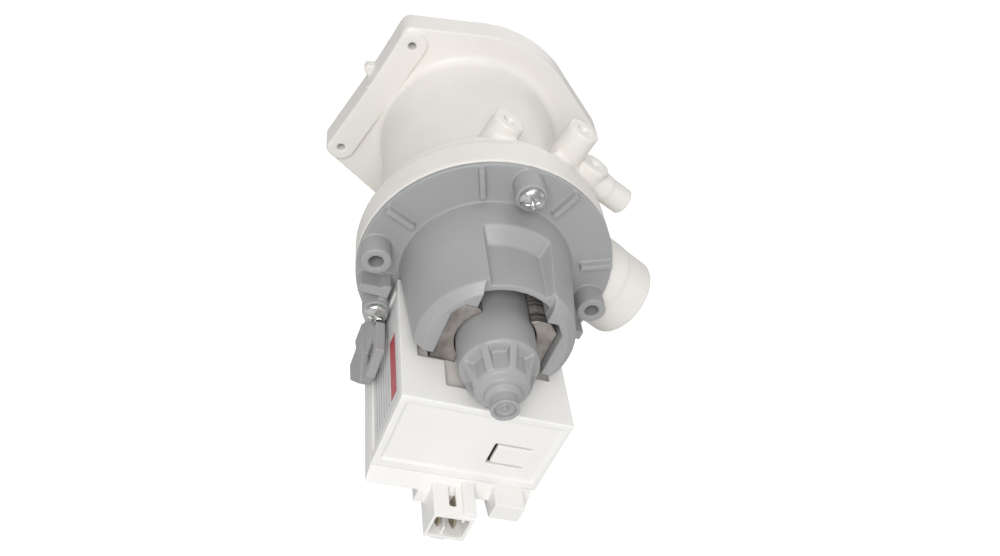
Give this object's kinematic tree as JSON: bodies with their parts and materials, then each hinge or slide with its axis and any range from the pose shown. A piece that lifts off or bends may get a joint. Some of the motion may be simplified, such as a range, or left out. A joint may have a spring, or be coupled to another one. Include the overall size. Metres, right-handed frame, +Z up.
{
  "type": "washer drain pump",
  "caption": "Drain pump with lint filter chamber, hose ports, impeller and canned-rotor motor with a hanging coil box and plug connector.",
  "frame": {"origin": "on the pump axis, at the front face of the front plate", "axes": "+Y along the pump axis towards the lint filter's cap, the motor lies towards -Y; +Z up, the coil box hangs towards -Z"},
  "size_m": [0.1134, 0.1575, 0.1075],
  "materials": {
    "housing_white": "fine satin moulded polypropylene",
    "cap_grey": "satin",
    "basket_white": "satin",
    "seal_rubber": "matt",
    "casing_grey": "satin moulded",
    "zinc_steel": "bright zinc",
    "impeller_grey": "satin",
    "dog_plastic": "satin",
    "shaft_steel": "ground",
    "ferrite": "matt sintered",
    "sleeve_plastic": "satin",
    "washer_plastic": "satin",
    "holder_plastic": "satin",
    "bush_ceramic": "polished",
    "lamination_steel": "sheared edges with thin oxide",
    "former_plastic": "satin",
    "copper_wire": "enamelled copper",
    "cutout_case": "satin",
    "box_white": "satin moulded",
    "tinned_brass": "tinned",
    "label_white": "satin foil"
  },
  "bodies": {
    "root": {"pump_housing": "housing_white", "motor_casing": "casing_grey", "casing_seal": "seal_rubber", "casing_screws": "zinc_steel", "bearing_holder": "holder_plastic", "front_bush": "bush_ceramic", "shaft_seal": "seal_rubber", "holder_seal": "seal_rubber", "rear_bush": "bush_ceramic", "rear_bush_cup": "seal_rubber", "stator_core": "lamination_steel", "left_coil_former": "former_plastic", "right_coil_former": "former_plastic", "left_coil": "copper_wire", "right_coil": "copper_wire", "thermal_cutout": "cutout_case", "coil_cover": "box_white", "coil_base": "box_white", "terminals": "tinned_brass", "rating_label": "label_white"},
    "rotor": {"rotor_shaft": "shaft_steel", "rotor_magnet": "ferrite", "rotor_sleeve": "sleeve_plastic", "thrust_washers": "washer_plastic", "drive_dog": "dog_plastic", "coupling_damper": "seal_rubber"},
    "impeller": {"impeller": "impeller_grey", "impeller_cap": "impeller_grey"},
    "basket": {"filter_basket": "basket_white"},
    "cap": {"filter_cap": "cap_grey", "filter_seal": "seal_rubber"}
  },
  "joints": [
    {"name": "rotor_spin", "type": "hinge", "parent": "root", "child": "rotor", "pos_m": [0, 0, 0], "axis": [0, -1, 0], "continuous": true},
    {"name": "impeller_play", "type": "hinge", "parent": "rotor", "child": "impeller", "pos_m": [0, 0, 0], "axis": [0, -1, 0], "range_deg": [-125, 125]},
    {"name": "filter_pull", "type": "slide", "parent": "root", "child": "basket", "axis": [0, 1, 0], "range_m": [0, 0.07]},
    {"name": "cap_turn", "type": "hinge", "parent": "basket", "child": "cap", "pos_m": [0, 0, 0], "axis": [0, 1, 0], "range_deg": [0, 90]}
  ]
}
